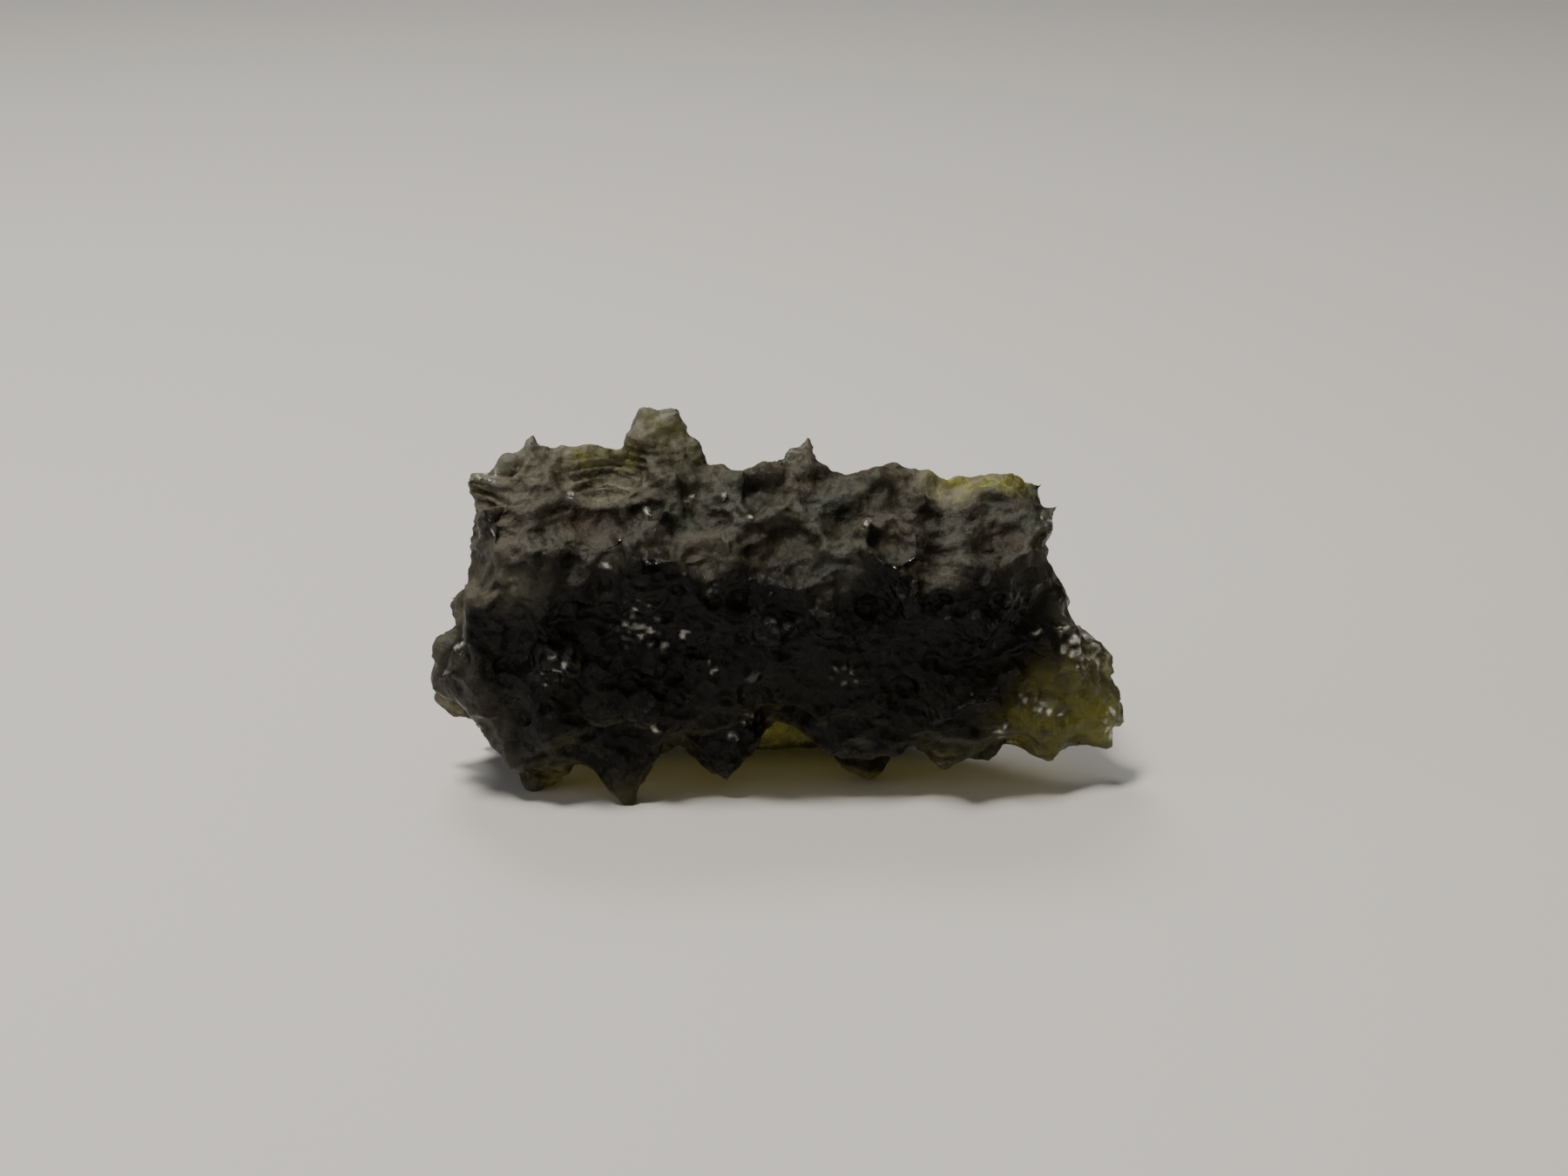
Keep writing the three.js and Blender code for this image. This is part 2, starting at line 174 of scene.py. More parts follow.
CHIP_RISE = 0.08  # the chips' sharp grains stand out a little
PAINTED_GLINT_FADE = 1.6  # how steeply a painted glint ends at its rim
PAINTED_GLINT_FACING = 4.0  # how soon the painted glints fade where the skin turns away from the front
PAINTED_GLINT_CONTRAST = 2.5  # how sharply the painted glints stand apart from each other
PAINTED_GLINT_NONE = -0.9  # keeps painted glints out where their place has no share
PAINTED_GLINT_GAIN = 1.1  # how much a full share adds

# ---- Coat of the stone, in millimetres ----

# Bowls in which the layers stand out: centre, radius, share.
LAYERED_BOWLS = [
    ((-12.0, -0.5, 12.2), 2.6, 1.0),
    ((-7.3, 1.0, 13.3), 2.4, 1.0),
    ((-5.8, 1.0, 14.2), 1.5, 1.0),
    ((-9.6, -1.0, 12.0), 1.8, 0.8),
    ((3.5, 0.5, 12.5), 1.5, 0.6),
]
# Places where the glass is clean and clear: centre, radius, share.
CLEAR_SPOTS = [
    ((13.4, -1.0, 3.0), 4.2, 0.6),
    ((-7.6, 1.8, 14.5), 1.4, 0.8),
    ((0.3, 2.6, 1.2), 3.0, 0.6),
    ((12.6, 0.0, 6.6), 1.6, 0.9),
    ((10.2, 1.6, 13.0), 1.5, 1.0),
    ((7.4, 1.4, 12.4), 1.9, 0.45),
    ((11.9, 0.3, 11.0), 1.3, 0.8),
    ((-5.6, 1.9, 15.4), 1.5, 0.8),
    ((-8.6, 1.9, 13.8), 1.3, 0.7),
    ((-10.8, 1.6, 14.9), 1.3, 0.5),
    ((-12.6, 1.4, 13.2), 1.3, 0.8),
]
# Places where the bloom is paler and greener, partly as painted light where the light falls on the top left
# and the left end: centre, radius, share.
PALE_AND_LIT_PLACES = [
    ((-12.2, 0.0, 12.5), 3.2, 0.9),
    ((-7.2, 1.0, 13.6), 3.0, 1.1),
    ((-5.0, 1.5, 15.0), 2.0, 0.8),
    ((7.4, 1.0, 12.6), 2.2, 0.4),
    ((-11.6, -4.2, 9.8), 2.8, 0.7),
    ((-14.0, -1.8, 5.5), 1.8, 0.6),
]
# Yellow-green places, where light comes back out of the glass: centre, radius, share.
OLIVE_PLACES = [
    ((12.4, -2.0, 2.4), 4.6, 0.95),
    ((10.0, 1.4, 13.1), 1.8, 1.1),
    ((7.6, 1.2, 12.8), 1.9, 0.6),
    ((-8.2, 1.5, 14.2), 1.2, 0.5),
    ((-6.6, 1.8, 14.4), 1.4, 0.5),
    ((0.3, 2.6, 1.2), 3.0, 0.3),
]
PLACE_FADE = 1.5  # how steeply such a place ends at its rim

# How far down the front the bloom and its painted light reach: x, height up the front.
BLOOM_AND_LIGHT_EDGE = [
    (-13.9, 6.3), (-9.4, 7.0), (-7.2, 7.5), (-4.9, 9.3), (-2.3, 7.5), (0.3, 8.4),
    (3.0, 7.5), (4.5, 9.0), (6.3, 7.7), (9.0, 8.0), (11.2, 7.5), (15.0, 7.0),
]
BLOOM_AND_LIGHT_EDGE_WIDTH = 1.6
BLOOM_AND_LIGHT_EDGE_RAGGED = 0.35
# What the bloom's share is made up of. It is partly painted light: the upper side, the crown,
# what faces up and the left end are painted lighter, as lit, than the bare dark front below.
# It starts below nothing, so that the lower front stays bare.
BLOOM_BARE = -0.15
BLOOM_AND_LIGHT_ABOVE_EDGE = 0.6
BLOOM_AND_LIGHT_ON_CROWN = 0.22
BLOOM_AND_LIGHT_FACING_UP = 0.35
BLOOM_IN_PATCHES = 0.3
PAINTED_LIGHT_ON_LEFT_END = 0.65
PAINTED_LIGHT_ON_LEFT_CRESTS = 0.25
BLOOM_IN_RELIEF = 0.11  # in the hollows and on the crests above that edge
CREST_HEIGHT = 0.10  # what stands out this far over the smoothed skin is full crest
CREST_ROUNDS = 10
CROWN = (9.0, 3.5)  # the height up the front that the crown starts at, and the height it takes
# The left end faces the light from the left, and its bloom is painted light: it starts at
# this x at this height up the front, and farther left the higher up, and grows to full over this width.
LEFT_END_X = -12.97
LEFT_END_HEIGHT = 6.9
LEFT_END_SLANT = 0.41
LEFT_END_WIDTH = 0.6

# The underside is clean, on what faces down by more than the tilt. These give the height
# that it starts at, and how far from there it is full.
UNDERSIDE = (5.0, -2.0)
UNDERSIDE_TILT = 0.2
UNDERSIDE_GAIN = 1.5
UNDERSIDE_MOST = 0.8
# Thin glass is clear too, high up and low down on the front: where each starts, and how
# far from there it is full.
HIGH_UP = (12.3, 0.7)
LOW_DOWN = (6.5, -1.0)
THIN_BELOW = 2.0
THIN_GAIN = 0.35
THIN_MOST = 0.3

# Patchiness: size of the patches, and a shift that keeps one pattern off another.
BLOOM_PATCHES = (2.4, (2, 9, 5))
SMALL_BLOOM_PATCHES = (0.9, (8, 2, 1))
CLEAR_PATCHES = (0.8, (4, 4, 2))
OLIVE_PATCHES = (1.1, (1, 6, 2))
OLIVE_SPECKS = (0.45, (5, 1, 3))
LAYER_BENDS = (4.5, (5, 1, 3))
PAINTED_GLINT_GRAINS = (0.28, (7, 3, 1))
SMALL_BLOOM_SHARE = 0.5
CLEAR_PATCH_SHARE = 0.5
OLIVE_PATCH_SHARE = 1.2
OLIVE_SPECK_SHARE = 1.0

# ---- Colours ----

CLEAN_SKIN = "#1F1C14"
BROWN_BLOOM = "#574D3F"
KHAKI_BLOOM = "#5B5646"
GREENISH_BLOOM = "#4C5144"
# The pale bloom, partly painted light.
PALE_AND_LIT_BLOOM = "#8C8770"
# Painted shade along the ledges' steps, and dirt and painted shade in the grain's pits.
SHADE_AND_DIRT = "#1E1B16"
CLEAR_GLASS = "#D8D6C4"
OLIVE_GLASS = "#94904A"
# The white of the painted glints on the chips.
PAINTED_GLINT_WHITE = "#D2D0C6"
LIGHT_THROUGH_GLASS = "#E2E08C"
PAPER = "#D9D6D1"
ROOM = "#DADCE2"

# ---- Glass ----

GLASS_IOR = 1.49
GLASS_DENSITY = 1500.0  # absorption per metre: near black over a few millimetres
GLINT = 0.36  # the etched skin glints less than a polished one
CLEAN_TRANSMISSION = 0.93
BLOOM_TRANSMISSION = 0.35
OLIVE_STOPS = -0.25  # what an olive place adds to the transmission
PAINTED_GLINT_STOPS = -0.6
SATIN_ROUGHNESS = 0.40
SHINY_ROUGHNESS = 0.10
BLOOM_ROUGHNESS = 0.48
PAINTED_GLINT_ROUGHNESS = 0.15
# Patterns: repeats to the millimetre, detail, roughness.
STAINS = (0.45, 4.0, 0.65)
GRAINS = (4.0, 5.0, 0.6)
GLOSS_SPOTS = (1.1, 3.0, 0.6)
PITS_PER_MM = 1.5
LAYERS_SCALE = 0.95  # gives layers 0.33 mm apart
LAYERS_BENT = 4.0
LAYERS_DETAIL = 2.0
LAYERS_DETAIL_SCALE = 0.3
# Where in their patterns the stains' three colours lie, the grain's pits are darkened, partly
# as dirt and partly as painted shade, and the satin skin turns to shiny spots.
STAIN_STOPS = (0.34, 0.5, 0.66)
DARKENED_PITS = (0.35, 0.60)
SPOT_EDGE = (0.54, 0.62)
# How dark the grain's pits get, partly dirt and partly painted shade, and how dark each ledge's step gets as
# painted shade.
PIT_SHADE_AND_DIRT = 0.40
LEDGE_SHADE = 0.6
# The finest relief: depth, strength.
LAYER_BUMP = (0.14, 0.9)
PIT_BUMP = (0.35, 0.9)
GRAIN_BUMP = (0.13, 0.8)

# ---- Studio ----

# Name, place, size, power in watts, colour. They shine on the middle of the stone.
SOFT_LIGHTS = [
    ("overhead_softbox", (-75, -35, 285), (60, 60), 0.77, "#FFF9F0"),
    ("back_softbox", (-60, 165, 240), (110, 110), 0.28, "#FFFDF5"),
    ("left_fill", (-300, -90, 90), (200, 140), 0.16, "#EAF0FF"),
]
STONE_MIDDLE = (0, 0, 7)
# The light that the thin lower edges let down onto the paper.
GLOW_PLACE = (1, -1.2, 0.9)
GLOW_SIZE = (24, 4.6)
GLOW_POWER = 0.00003
GLOW_COLOUR = "#E4D070"
GLOW_AIM = (1, -1.2, 0)
ROOM_AT_FLOOR = 0.03
ROOM_OVERHEAD = 0.235
OVERHEAD_FROM = 0.9  # as the upward part of the direction
FLOOR_RADIUS = 2.5  # metres
FLOOR_CORNERS = 64
PAPER_ROUGHNESS = 0.9


# ---- Small helpers ----

def linear(hex_colour):
    """An sRGB hex colour as linear RGBA."""
    channels = [int(hex_colour[i:i + 2], 16) / 255 for i in (1, 3, 5)]
    return tuple(c / 12.92 if c <= 0.04045 else ((c + 0.055) / 1.055) ** 2.4 for c in channels) + (1.0,)


def ramp(values, start, over):
    """0 up to the start, then rising to 1 over that much; it falls away where that is negative."""
    return np.clip((values - start) / over, 0.0, 1.0)


def add_node(tree, kind, settings=None, inputs=None):
    """A node with its settings, and its inputs given as values or as sockets to link from."""
    node = tree.nodes.new(kind)
    for name, value in (settings or {}).items():
        setattr(node, name, value)
    for name, value in (inputs or {}).items():
        if isinstance(value, bpy.types.NodeSocket):
            tree.links.new(value, node.inputs[name])
        else:
            node.inputs[name].default_value = value
    return node


def mixed(tree, kind, share, first, second):
    """What lies between the first and the second, by the share of the second."""
    node = add_node(tree, "ShaderNodeMix", {"data_type": kind}, {"Factor": share, "A": first, "B": second})
    return node.outputs["Result"]


def worked_out(tree, operation, *values, clamped=False):
    """The result of one calculation."""
    node = add_node(
        tree, "ShaderNodeMath", {"operation": operation, "use_clamp": clamped}, dict(enumerate(values))
    )
    return node.outputs["Value"]


def mapped(tree, value, from_range, to_range):
    """The value carried over from one range to another."""
    names = ("From Min", "From Max", "To Min", "To Max")
    node = add_node(
        tree, "ShaderNodeMapRange", inputs={"Value": value, **dict(zip(names, from_range + to_range))}
    )
    return node.outputs["Result"]


def noise_pattern(tree, place, per_mm, detail, roughness):
    node = add_node(
        tree, "ShaderNodeTexNoise",
        inputs={"Vector": place, "Scale": per_mm, "Detail": detail, "Roughness": roughness},
    )
    return node.outputs["Fac"]


def bumped(tree, height, depth_mm, strength, under=None):
    """The skin's direction with a fine relief, laid over another one where that is given."""
    inputs = {"Strength": strength, "Distance": depth_mm * MM, "Height": height}
    if under is not None:
        inputs["Normal"] = under
    return add_node(tree, "ShaderNodeBump", inputs=inputs).outputs["Normal"]


def new_material(name):
    material = bpy.data.materials.new(name)
    material.use_nodes = True
    material.node_tree.nodes.clear()
    return material, material.node_tree


def select_only(piece):
    bpy.ops.object.select_all(action="DESELECT")
    piece.select_set(True)
    bpy.context.view_layer.objects.active = piece


# ---- The stone's mesh ----

def copy_of_solid(node, name):
    """A copy of the solid with the lumps added, as one joined skin of even fine faces."""
    piece = bpy.data.objects.new(name, node.data.copy())
    bpy.context.collection.objects.link(piece)
    piece.data.materials.clear()
    select_only(piece)
    bpy.ops.object.mode_set(mode="EDIT")
    bpy.ops.mesh.select_all(action="SELECT")
    bpy.ops.mesh.remove_doubles(threshold=CORNERS_JOINED * MM)
    for centre, radii in LUMPS:
        bpy.ops.mesh.primitive_uv_sphere_add(
            segments=LUMP_SEGMENTS, ring_count=LUMP_RINGS,
            radius=MM, location=Vector(centre) * MM, scale=radii,
        )
    bpy.ops.object.mode_set(mode="OBJECT")
    remesh = piece.modifiers.new("fine_skin", "REMESH")
    remesh.mode = "VOXEL"
    remesh.voxel_size = SKIN_VOXEL * MM
    bpy.ops.object.modifier_apply(modifier=remesh.name)
    return largest_part(name)


def largest_part(name):
    """The main skin without the specks that the fine faces cut off."""
    bpy.ops.mesh.separate(type="LOOSE")
    parts = sorted(bpy.context.selected_objects, key=lambda part: len(part.data.vertices))
    for speck in parts[:-1]:
        bpy.data.objects.remove(speck)
    parts[-1].name = name
    return parts[-1]


def smooth(piece, rounds):
    select_only(piece)
    step = piece.modifiers.new("smooth", "SMOOTH")
    step.factor = FACET_SMOOTHING
    step.iterations = rounds
    bpy.ops.object.modifier_apply(modifier=step.name)


def roughen(piece, size_mm, depth_mm):
    """A fine grain all over the skin."""
    grain = bpy.data.textures.new("grain", "CLOUDS")
    grain.noise_scale = size_mm * MM
    grain.noise_depth = GRAIN_DETAIL
    select_only(piece)
    step = piece.modifiers.new("grain", "DISPLACE")
    step.texture = grain
    step.texture_coords = "LOCAL"
    step.strength = depth_mm * MM
    bpy.ops.object.modifier_apply(modifier=step.name)


def read_vectors(collection, name):
    values = np.empty(len(collection) * 3)
    collection.foreach_get(name, values)
    return values.reshape(-1, 3)


def write_points(mesh, points):
    mesh.vertices.foreach_set("co", points.ravel())
    mesh.update()


def height_up_front(points_mm):
    return points_mm @ np.array(UP_FRONT)


def noise_over(points_mm, size, shift):
    """Smooth noise from about -1 to 1 at each point, with a grain of that size."""
    return np.array([noise.noise(Vector(p) / size + Vector(shift)) for p in points_mm])


def near(points_mm, places):
    """From its share in the middle of the nearest of these places to 0 outside them."""
    most = np.zeros(len(points_mm))
    for centre, radius, share in places:
        reach = np.linalg.norm(points_mm - np.array(centre), axis=1) / radius
        most = np.maximum(most, share * np.clip(PLACE_FADE - PLACE_FADE * reach, 0.0, 1.0))
    return most


def thickness_mm(mesh):
    """How much glass lies behind each point, straight in from the skin."""
    points = read_vectors(mesh.vertices, "co")
    normals = read_vectors(mesh.vertex_normals, "vector")
    tree = BVHTree.FromPolygons(points.tolist(), [p.vertices[:] for p in mesh.polygons])
    thickness = np.full(len(points), OPEN_THICKNESS)
    for i, (point, normal) in enumerate(zip(points, normals)):
        inward = -Vector(normal)
        place, _, _, distance = tree.ray_cast(Vector(point) + inward * UNDER_SKIN * MM, inward)
        if place is not None:
            thickness[i] = distance / MM
    return thickness


def evened(mesh, rounds, share=1.0):
    """The skin's points after so many rounds, each moving them that share of the way to
    the middle of their neighbours."""
    points = read_vectors(mesh.vertices, "co")
    ends = np.empty(len(mesh.edges) * 2, dtype=np.int64)
    mesh.edges.foreach_get("vertices", ends)
    ends = ends.reshape(-1, 2)
    count = np.bincount(ends.ravel(), minlength=len(points))
    for _ in range(rounds):
        middle = np.empty_like(points)
        for axis in range(3):
            sums = np.bincount(ends[:, 0], points[ends[:, 1], axis], len(points))
            sums += np.bincount(ends[:, 1], points[ends[:, 0], axis], len(points))
            middle[:, axis] = sums / count
        points += np.reshape(share, (-1, 1)) * (middle - points)
    return points


def broad_form(mesh, rounds):
    """The same skin after so many rounds of smoothing: its points and its normals."""
    points = evened(mesh, rounds)
    broad = mesh.copy()
    write_points(broad, points)
    normals = read_vectors(broad.vertex_normals, "vector")
    bpy.data.meshes.remove(broad)
    return points, normals


def height_over_mm(mesh, form):
    """How far each point stands out of that smoother form."""
    points, normals = form
    return np.einsum("ij,ij->i", read_vectors(mesh.vertices, "co") - points, normals) / MM


def raise_skin(mesh, rise_mm, normals):
    write_points(mesh, read_vectors(mesh.vertices, "co") + normals * (rise_mm * MM)[:, None])


def plane_down(mesh, broad_points):
    """Blunts the horns and planes down the solid's own scallops. What comes back is the
    points in millimetres, the share of the new relief that each takes, and how far it
    belongs to the upper side."""
    points = read_vectors(mesh.vertices, "co")
    low, high = HORN_SHIFTS
    shift = np.linalg.norm(points - broad_points, axis=1) / MM
    body = np.maximum(ramp(shift, high, low - high), HORN_RELIEF)
    points = evened(mesh, HORN_ROUNDS, HORN_BLUNTING * (1.0 - body))
    upper = ramp(points[:, 2] / MM, *UPPER_SIDE)
    points += CALM * (body * upper)[:, None] * (broad_points - points)
    write_points(mesh, points)
    return points / MM, body, upper


def dish_depth(points_mm, normals):
    """How deep the dishes are at each point of the upper front, less how far their lips stand out."""
    up = height_up_front(points_mm)
    depth = np.zeros(len(points_mm))
    for x, height, half_width, half_height, deep in DISHES:
        reach = np.hypot((points_mm[:, 0] - x) / half_width, (up - height) / half_height)
        bowl = deep * np.clip(1.0 - reach ** 2, 0.0, 1.0)
        lip = LIP * deep * np.exp(-((reach - LIP_REACH) / LIP_WIDTH) ** 2) * (up < height)
        depth = np.maximum(depth, bowl) - lip
    return depth * np.clip(DISH_FACING * (normals @ OUT_OF_FRONT), 0.0, 1.0)


def scallop_height(points_mm, size, ragged, leaning):
    """From -1 at the bottom of a scallop to 0 at its rim, at each point."""
    height = np.empty(len(points_mm))
    for i, (point, lean) in enumerate(zip(points_mm / size, leaning)):
        place = Vector(point)
        place += ragged * noise.noise_vector(place * RAGGED_FINENESS)
        nearest = RIM
        for centre in noise.voronoi(place)[1]:
            out = place - centre
            up = out.dot(UPHILL)
            slope = STEEP if up > 0 else GENTLE
            nearest = min(nearest, out.length_squared + lean * (slope - 1.0) * up * up)
        height[i] = nearest / RIM - 1.0
    return height


def painted_glints(points_mm, normals):
    """From 1 in the middle of a painted glint, on a chip, to 0 outside it, on what faces the front."""
    up = height_up_front(points_mm)
    place = np.zeros(len(points_mm))
    for x, height, radius, share in PAINTED_GLINT_SPOTS:
        reach = np.hypot(points_mm[:, 0] - x, up - height) / radius
        place = np.maximum(place, share * np.clip(PAINTED_GLINT_FADE - PAINTED_GLINT_FADE * reach, 0.0, 1.0))
    place *= np.clip(PAINTED_GLINT_FACING * (normals @ OUT_OF_FRONT), 0.0, 1.0)
    glint_shares = np.zeros(len(points_mm))
    some = place > 0.0
    grains = PAINTED_GLINT_CONTRAST * noise_over(points_mm[some], *PAINTED_GLINT_GRAINS)
    # Painted glints: grains of white that stand in for reflections of the light.
    glint_shares[some] = grains + PAINTED_GLINT_NONE + PAINTED_GLINT_GAIN * place[some]
    return np.clip(glint_shares, 0.0, 1.0)


def relief_mm(mesh, points_mm, normals, upper):
    """How far each point moves out or in, for the dishes, the scallops and the chips."""
    calm = 1.0 - BOWL_CALM * near(points_mm, LAYERED_BOWLS)
    leaning = LOW_LEAN + (1.0 - LOW_LEAN) * upper
    rise = SWELL - dish_depth(points_mm, normals)
    noise.seed_set(SCALLOP_SEED)
    for size, depth, ragged, low_share in SCALLOPS:
        share = calm * (low_share + (1.0 - low_share) * upper)
        rise += depth * share * scallop_height(points_mm, size, ragged, leaning)
    rise = np.maximum(rise, -CARVED_SHARE * thickness_mm(mesh))
    return rise + CHIP_RISE * painted_glints(points_mm, normals)


def cut_ledges(mesh, share):
    """The flow layers stand out as ledges, each a gentle tread and a short steep step."""
    points_mm = read_vectors(mesh.vertices, "co") / MM
    wander = LAYER_WAVE * noise_over(points_mm, *LAYER_BENDS)
    layer = (points_mm @ np.array(LAYER_NORMAL) + wander) / LEDGE_SPACING
    along = layer - np.floor(layer)
    ledge = np.where(along < LEDGE_TREAD, along / LEDGE_TREAD, (1.0 - along) / (1.0 - LEDGE_TREAD)) - 0.5
    rise = LEDGE_HEIGHT * ledge * near(points_mm, LAYERED_BOWLS) * share
    raise_skin(mesh, rise, read_vectors(mesh.vertex_normals, "vector"))


def round_proud_edges(mesh):
    """Thin edges that stand out sharply are worn a little, or they would shine like wire."""
    proud = height_over_mm(mesh, broad_form(mesh, CREST_ROUNDS))
    share = np.minimum(ramp(proud, *PROUD_EDGES), PROUD_BLUNTING)
    write_points(mesh, evened(mesh, PROUD_ROUNDS, share))


def etch(piece):
    """Works the fine relief into the skin."""
    smooth(piece, FACET_ROUNDS)
    mesh = piece.data
    broad_points, broad_normals = broad_form(mesh, BROAD_ROUNDS)
    points_mm, body, upper = plane_down(mesh, broad_points)
    rise = relief_mm(mesh, points_mm, broad_normals, upper)
    raise_skin(mesh, body * rise, broad_normals)
    cut_ledges(mesh, body)
    roughen(piece, *GRAIN)
    round_proud_edges(mesh)


def thin_out(piece, triangles):
    """Merges faces where the skin is plain, down to that many triangles."""
    select_only(piece)
    piece.data.calc_loop_triangles()
    step = piece.modifiers.new("thin_out", "DECIMATE")
    step.ratio = triangles / len(piece.data.loop_triangles)
    bpy.ops.object.modifier_apply(modifier=step.name)


def keep_in_box(mesh, low, high):
    """The skin never stands outside the solid's own box."""
    write_points(mesh, np.clip(read_vectors(mesh.vertices, "co"), np.array(low), np.array(high)))


# ---- The stone's coat ----

def bloom_and_painted_light_over(mesh, points_mm, normals):
    """The share of bloom at each point: most on what faces up, on the crown and on the
    left end, in patches, and a little more in hollows and on crests. It is partly painted
    light: what faces up, the crown and the left end are where the light falls."""
    patches = noise_over(points_mm, *BLOOM_PATCHES)
    patches += SMALL_BLOOM_SHARE * noise_over(points_mm, *SMALL_BLOOM_PATCHES)
    crest = np.clip(height_over_mm(mesh, broad_form(mesh, CREST_ROUNDS)) / CREST_HEIGHT, -1.0, 1.0)
    x = points_mm[:, 0]
    up = height_up_front(points_mm)
    edge_x, edge_height = zip(*BLOOM_AND_LIGHT_EDGE)
    over_edge = up - np.interp(x, edge_x, edge_height) + BLOOM_AND_LIGHT_EDGE_RAGGED * patches
    upper = np.clip(0.5 + over_edge / BLOOM_AND_LIGHT_EDGE_WIDTH, 0.0, 1.0)
    left_end = ramp(LEFT_END_X + LEFT_END_SLANT * (LEFT_END_HEIGHT - up) - x, 0.0, LEFT_END_WIDTH)
    # Painted light: more on the upper side, the crown, what faces up and the left end, where the light
    # falls.
    bloom_and_painted_light = BLOOM_BARE + BLOOM_AND_LIGHT_ABOVE_EDGE * upper + BLOOM_AND_LIGHT_ON_CROWN * ramp(up, *CROWN)
    bloom_and_painted_light += BLOOM_AND_LIGHT_FACING_UP * normals[:, 2] + BLOOM_IN_PATCHES * patches + PAINTED_LIGHT_ON_LEFT_END * left_end
    bloom_and_painted_light += PAINTED_LIGHT_ON_LEFT_CRESTS * left_end * crest + BLOOM_IN_RELIEF * upper * np.abs(crest)
    return np.clip(bloom_and_painted_light, 0.0, 1.0)


def clear_over(mesh, points_mm, normals):
    """The share of clear glass at each point: thin edges, the clean underside and some spots."""
    up = height_up_front(points_mm)
    under = UNDERSIDE_GAIN * (-normals[:, 2] - UNDERSIDE_TILT) * ramp(points_mm[:, 2], *UNDERSIDE)
    thin = np.clip(THIN_GAIN * (THIN_BELOW - thickness_mm(mesh)), 0.0, THIN_MOST)
    thin *= ramp(up, *HIGH_UP) + ramp(up, *LOW_DOWN)
    clear = np.maximum(thin, np.clip(under, 0.0, UNDERSIDE_MOST))
    clear = np.maximum(clear, near(points_mm, CLEAR_SPOTS))
    patches = noise_over(points_mm, *CLEAR_PATCHES)
    return np.clip(clear * (1.0 + CLEAR_PATCH_SHARE * patches), 0.0, 1.0)


def olive_over(points_mm):
    """The share of olive at each point, mottled."""
    mottling = OLIVE_PATCH_SHARE * noise_over(points_mm, *OLIVE_PATCHES)
    mottling += OLIVE_SPECK_SHARE * noise_over(points_mm, *OLIVE_SPECKS)
    return np.clip(near(points_mm, OLIVE_PLACES) * (1.0 + mottling), 0.0, 1.0)


def coat(mesh):
    """Keeps on the skin's points, for the glass, what the skin is like there."""
    points_mm = read_vectors(mesh.vertices, "co") / MM
    normals = read_vectors(mesh.vertex_normals, "vector")
    clear = clear_over(mesh, points_mm, normals)
    painted_glint = painted_glints(points_mm, normals)
    kinds = {
        "bloom_and_painted_light": bloom_and_painted_light_over(mesh, points_mm, normals) * (1.0 - clear) * (1.0 - painted_glint),
        "clear": clear,
        "layered": near(points_mm, LAYERED_BOWLS),
        "painted_glint": painted_glint,
        "pale_and_lit": near(points_mm, PALE_AND_LIT_PLACES),
        "olive": olive_over(points_mm),
    }
    for name, values in kinds.items():
        mesh.attributes.new(name, "FLOAT", "POINT").data.foreach_set("value", values)


# ---- Glass ----

def coat_share(tree, name):
    return add_node(tree, "ShaderNodeAttribute", {"attribute_name": name}).outputs["Fac"]


def stain_colours(tree, place):
    """The bloom's colour: rusty brown to greenish grey, in patches of a few millimetres."""
    stain = add_node(tree, "ShaderNodeValToRGB", inputs={"Fac": noise_pattern(tree, place, *STAINS)})
    brown_at, khaki_at, greenish_at = STAIN_STOPS
    brown, greenish = stain.color_ramp.elements
    brown.position = brown_at
    brown.color = linear(BROWN_BLOOM)
    greenish.position = greenish_at
    greenish.color = linear(GREENISH_BLOOM)
    stain.color_ramp.elements.new(khaki_at).color = linear(KHAKI_BLOOM)
    return stain.outputs["Color"]


